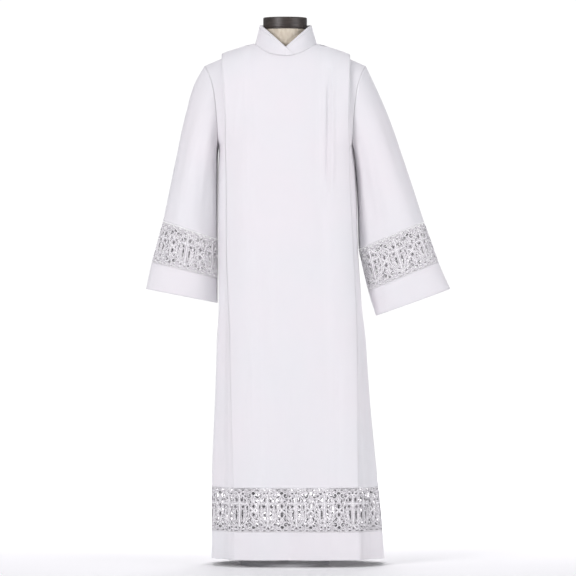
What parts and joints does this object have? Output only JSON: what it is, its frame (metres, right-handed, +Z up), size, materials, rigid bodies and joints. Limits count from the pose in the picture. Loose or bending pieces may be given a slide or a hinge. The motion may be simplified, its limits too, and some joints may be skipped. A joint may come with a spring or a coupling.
{
  "type": "alb robe on dress form",
  "caption": "Long white robe with pleated panels, a standing collar with a V notch and bands of pierced lace, worn by a limbless dress form on a round stand.",
  "frame": {"origin": "on the floor, at the middle of the base plate's underside", "axes": "+Z up, the robe's front faces -Y, and +X is the viewer's right from the front"},
  "size_m": [0.8523, 0.3324, 1.529],
  "materials": {
    "white_cloth": "plain woven white cloth, matt",
    "white_lace": "white lace with raised motifs, matt",
    "form_linen": "cream linen stretched over a padded torso, matt",
    "cap_brown": "dark brown stained wood, satin",
    "stand_grey": "pale grey powder coat, satin"
  },
  "bodies": {
    "root": {"back": "white_cloth", "collar": "white_cloth", "cuff_left": "white_cloth", "cuff_right": "white_cloth", "front": "white_cloth", "hem_back": "white_cloth", "hem_front": "white_cloth", "sleeve_left": "white_cloth", "sleeve_right": "white_cloth", "cuff_lace_left_back": "white_lace", "cuff_lace_left_front": "white_lace", "cuff_lace_right_back": "white_lace", "cuff_lace_right_front": "white_lace", "hem_lace_back": "white_lace", "hem_lace_front": "white_lace", "form_torso": "form_linen", "form_cap": "cap_brown", "form_pole": "stand_grey", "form_base": "stand_grey"}
  },
  "joints": []
}
